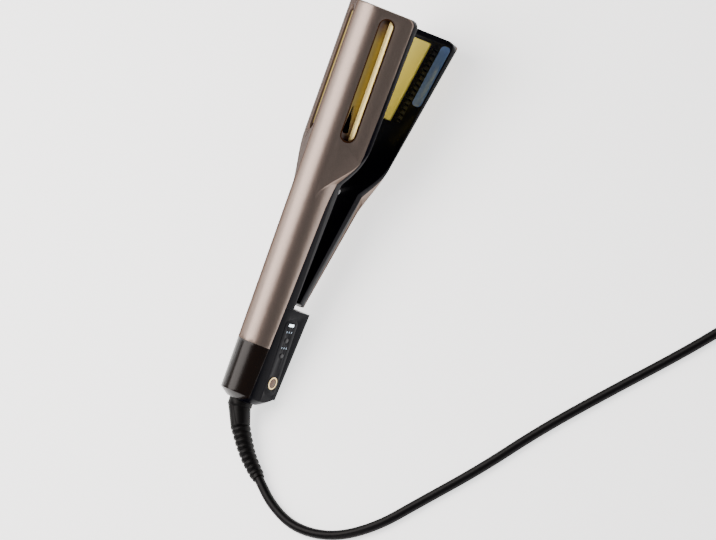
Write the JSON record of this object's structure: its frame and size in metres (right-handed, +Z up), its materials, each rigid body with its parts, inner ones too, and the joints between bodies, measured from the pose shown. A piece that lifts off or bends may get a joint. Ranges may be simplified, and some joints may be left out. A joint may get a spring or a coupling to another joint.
{
  "type": "hair straightener",
  "caption": "Hair straightener with two ridged arms that open on a hinge, floating heated plates, combs, vents, side buttons and a swivelling mains cord.",
  "frame": {"origin": "centre of the underside of the straightener as it lies open on a table, cord not counted", "axes": "+X from the cord end to the tips, +Z up, -Y the side with the controls"},
  "size_m": [0.353, 0.4748, 0.1006],
  "materials": {
    "champagne_lacquer": "satin metallic lacquer on moulded plastic",
    "black_casing": "moulded, semi-gloss",
    "gloss_black": "polished, glossy",
    "rose_gold": "metallised ring",
    "lit_lens": "clear diffuse lens",
    "button_black": "moulded, satin",
    "board": "glass-epoxy laminate",
    "switch_plastic": "moulded, matte",
    "steel": "drawn steel",
    "acetal": "moulded acetal, smooth",
    "gilded_liner": "gold metallised, satin",
    "gold_plate": "gold-toned ceramic coating, polished",
    "heater_ceramic": "fired, matte",
    "silicone": "moulded silicone",
    "heat_resin": "heat-resistant resin",
    "loom_sleeve": "glass-fibre sleeve",
    "brass_contact": "stamped brass",
    "comb_black": "moulded, satin",
    "slate_panel": "glossy slate-blue inlay",
    "relief_rubber": "moulded soft, matte",
    "cord_sheath": "extruded, satin",
    "tie_rubber": "hook-and-loop strap",
    "plug_black": "moulded, matte"
  },
  "bodies": {
    "cord": {"swivel_drum": "acetal", "contact_rings": "brass_contact", "strain_relief": "relief_rubber", "cord_lead": "cord_sheath", "cord_coil": "cord_sheath", "cable_tie": "tie_rubber", "plug_body": "plug_black", "plug_pins": "brass_contact"},
    "handle": {"upper_shell": "champagne_lacquer", "upper_inner_casing": "black_casing", "base_housing": "black_casing", "end_cap": "gloss_black", "control_fascia": "gloss_black", "indicator_lamps": "lit_lens", "status_light": "lit_lens", "power_bezel": "rose_gold", "circuit_board": "board", "tact_switches": "switch_plastic", "hinge_pin": "steel", "opening_spring": "steel", "upper_vent_liners": "gilded_liner", "upper_plate_carrier": "heat_resin", "upper_casing_screws": "steel", "upper_wire_loom": "loom_sleeve", "swivel_bearing": "acetal", "contact_block": "switch_plastic", "contact_brushes": "brass_contact"},
    "upper_plate": {"upper_plate": "gold_plate", "upper_heater": "heater_ceramic", "upper_float_pads": "silicone"},
    "lower": {"lower_shell": "champagne_lacquer", "lower_inner_casing": "black_casing", "hinge_bushes": "acetal", "combs": "comb_black", "side_panels": "slate_panel", "lower_vent_liners": "gilded_liner", "lower_plate_carrier": "heat_resin", "lower_casing_screws": "steel", "lower_wire_loom": "loom_sleeve"},
    "lower_plate": {"lower_plate": "gold_plate", "lower_heater": "heater_ceramic", "lower_float_pads": "silicone"},
    "power_button": {"power_button": "button_black"},
    "cooler_button": {"cooler_button": "button_black"},
    "hotter_button": {"hotter_button": "button_black"}
  },
  "joints": [
    {"name": "cord_swivel", "type": "hinge", "parent": "cord", "child": "handle", "pos_m": [-0.14186, 0, 0.01459], "axis": [0.98, 0, 0.1988], "continuous": true},
    {"name": "arm_hinge", "type": "hinge", "parent": "handle", "child": "lower", "pos_m": [-0.07581, 0, 0.03002], "axis": [0, -1, 0], "range_deg": [0, 12.2], "stiffness_Nm_per_rad": 0.9, "springref_deg": -20.05},
    {"name": "upper_plate_float", "type": "slide", "parent": "handle", "child": "upper_plate", "axis": [-0.1988, 0, 0.98], "range_m": [0, 0.0005], "stiffness_N_per_m": 800, "springref_m": -0.0006},
    {"name": "lower_plate_float", "type": "slide", "parent": "lower", "child": "lower_plate", "axis": [-0.0128, 0, -0.9999], "range_m": [0, 0.0005], "stiffness_N_per_m": 800, "springref_m": -0.0006},
    {"name": "power_press", "type": "slide", "parent": "handle", "child": "power_button", "axis": [0, 1, 0], "range_m": [0, 0.0006], "stiffness_N_per_m": 400, "springref_m": -0.001},
    {"name": "cooler_press", "type": "slide", "parent": "handle", "child": "cooler_button", "axis": [0, 1, 0], "range_m": [0, 0.0006], "stiffness_N_per_m": 400, "springref_m": -0.001},
    {"name": "hotter_press", "type": "slide", "parent": "handle", "child": "hotter_button", "axis": [0, 1, 0], "range_m": [0, 0.0006], "stiffness_N_per_m": 400, "springref_m": -0.001}
  ]
}
